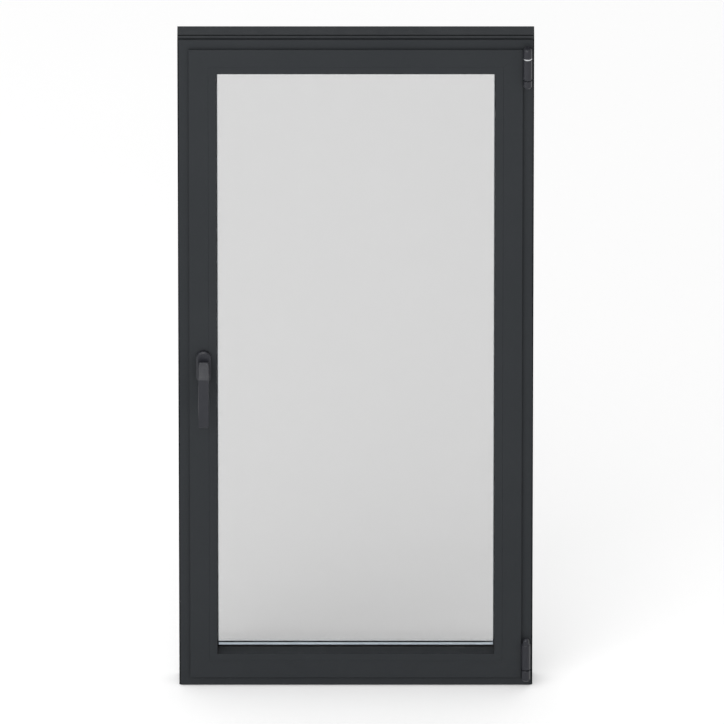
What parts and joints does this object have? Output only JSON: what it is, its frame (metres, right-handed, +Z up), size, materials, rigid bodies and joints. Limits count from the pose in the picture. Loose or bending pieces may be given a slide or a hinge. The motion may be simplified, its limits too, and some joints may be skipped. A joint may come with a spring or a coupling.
{
  "type": "tilt and turn window",
  "caption": "Anthracite aluminium tilt and turn window with frame, insulating glass, lever handle, corner hinge, stay arm and rack-driven lock rods.",
  "frame": {"origin": "middle of the frame's underside, halfway through the frame depth", "axes": "+Z up, +X to the hinge side, +Y to the outside, so the room and the handle are towards -Y"},
  "size_m": [0.7, 0.1146, 1.465],
  "materials": {
    "coated_aluminium": "fine powder coat, satin anthracite",
    "hardware_coated": "smooth lacquer, satin dark grey",
    "glass": "clear float glass",
    "rubber": "matt black",
    "polyamide": "matt black",
    "bare_aluminium": "mill finish",
    "zinc_steel": "zinc plated",
    "zinc_die_cast": "as cast"
  },
  "bodies": {
    "frame": {"frame_inner_left": "coated_aluminium", "frame_inner_right": "coated_aluminium", "frame_inner_head": "coated_aluminium", "frame_inner_sill": "coated_aluminium", "frame_outer_left": "coated_aluminium", "frame_outer_right": "coated_aluminium", "frame_outer_head": "coated_aluminium", "frame_outer_sill": "coated_aluminium", "frame_break_bars": "polyamide", "frame_cleats": "bare_aluminium", "frame_gasket": "rubber", "drain_caps": "coated_aluminium", "keepers": "zinc_steel", "tilt_keeper": "zinc_steel", "frame_screws": "zinc_steel", "top_bracket": "hardware_coated", "top_pin": "zinc_steel", "top_washer": "zinc_steel", "bottom_bracket": "hardware_coated", "pivot_pin": "zinc_steel"},
    "hinge_swivel": {"swivel_block": "hardware_coated", "tilt_pin": "zinc_steel"},
    "sash": {"sash_inner_left": "coated_aluminium", "sash_inner_right": "coated_aluminium", "sash_inner_top": "coated_aluminium", "sash_inner_bottom": "coated_aluminium", "sash_outer_left": "coated_aluminium", "sash_outer_right": "coated_aluminium", "sash_outer_top": "coated_aluminium", "sash_outer_bottom": "coated_aluminium", "sash_break_bars": "polyamide", "sash_cleats": "bare_aluminium", "bead_left": "coated_aluminium", "bead_right": "coated_aluminium", "bead_top": "coated_aluminium", "bead_bottom": "coated_aluminium", "pane_inner": "glass", "pane_outer": "glass", "spacer": "bare_aluminium", "edge_seal": "rubber", "setting_blocks": "polyamide", "gasket_inner": "rubber", "gasket_outer": "rubber", "lip_gasket": "rubber", "bottom_band": "hardware_coated", "band_screws": "zinc_steel", "gearbox": "zinc_die_cast", "corner_drives": "zinc_steel", "handle_base": "hardware_coated", "handle_cover": "hardware_coated", "handle_screws": "zinc_steel"},
    "handle": {"handle_lever": "hardware_coated", "spindle": "zinc_steel", "pinion": "zinc_steel"},
    "lock_rod": {"lock_rod": "zinc_steel", "lock_cams": "zinc_steel"},
    "top_rod": {"top_rod": "zinc_steel"},
    "bottom_rod": {"bottom_rod": "zinc_steel"},
    "stay_arm": {"stay_arm": "hardware_coated", "stay_slider": "zinc_steel"}
  },
  "joints": [
    {"name": "turn", "type": "hinge", "parent": "frame", "child": "hinge_swivel", "pos_m": [0.337, -0.037, 0.03], "axis": [0, 0, 1], "range_deg": [0, 90]},
    {"name": "tilt", "type": "hinge", "parent": "hinge_swivel", "child": "sash", "pos_m": [0.337, -0.0335, 0.034], "axis": [1, 0, 0], "range_deg": [0, 6]},
    {"name": "handle_turn", "type": "hinge", "parent": "sash", "child": "handle", "pos_m": [-0.3, -0.032, 0.7325], "axis": [0, -1, 0], "range_deg": [0, 180]},
    {"name": "lock_slide", "type": "slide", "parent": "sash", "child": "lock_rod", "axis": [0, 0, -1], "range_m": [0, 0.02011]},
    {"name": "top_slide", "type": "slide", "parent": "sash", "child": "top_rod", "axis": [-1, 0, 0], "range_m": [0, 0.02011]},
    {"name": "bottom_slide", "type": "slide", "parent": "sash", "child": "bottom_rod", "axis": [1, 0, 0], "range_m": [0, 0.02011]},
    {"name": "stay_swing", "type": "hinge", "parent": "hinge_swivel", "child": "stay_arm", "pos_m": [0.337, -0.037, 1.4], "axis": [0, 0, 1], "range_deg": [0, 21.56]}
  ],
  "couplings": [
    {"joint": "lock_slide", "follows": "handle_turn", "m_per_rad": 0.0064},
    {"joint": "top_slide", "follows": "handle_turn", "m_per_rad": 0.0064},
    {"joint": "bottom_slide", "follows": "handle_turn", "m_per_rad": 0.0064},
    {"joint": "stay_swing", "follows": "tilt", "ratio": 3.5933}
  ]
}
